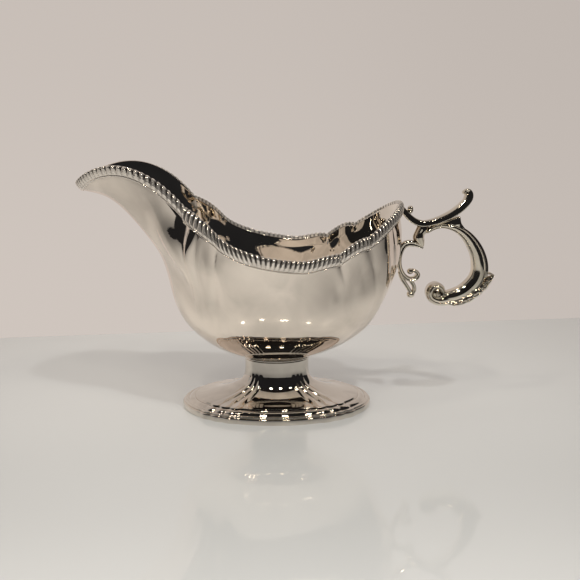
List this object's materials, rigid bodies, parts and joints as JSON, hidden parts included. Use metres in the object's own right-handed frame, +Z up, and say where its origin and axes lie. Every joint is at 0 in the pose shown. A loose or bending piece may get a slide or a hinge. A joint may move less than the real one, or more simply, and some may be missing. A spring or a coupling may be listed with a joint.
{
  "type": "sauce boat",
  "caption": "Silver sauce boat with a fluted oval bowl, wide pouring lip, lobed rim border, oval pedestal foot and scroll handle with thumb rest.",
  "frame": {"origin": "centre of the foot's base, on the surface the boat stands on", "axes": "lip toward -X, handle toward +X, +Z up; the boat is symmetric about the XZ plane"},
  "size_m": [0.2051, 0.0906, 0.1228],
  "materials": {
    "polished_silver": "polished silver plate, mirror bright, with faint rubbing scratches and haze",
    "border_silver": "cast silver plate with slight tarnish in the grooves between lobes",
    "handle_silver": "cast silver plate, polished, warmer and a little tarnished in the recesses"
  },
  "bodies": {
    "root": {"bowl": "polished_silver", "border_near": "border_silver", "border_far": "border_silver", "stem_collar": "polished_silver", "foot": "polished_silver", "foot_rim": "polished_silver", "handle_arm": "handle_silver", "handle_scroll": "handle_silver", "handle_volute": "handle_silver", "handle_leaf": "handle_silver", "handle_knuckle": "handle_silver", "handle_bracket": "handle_silver", "handle_drop": "handle_silver"}
  },
  "joints": []
}
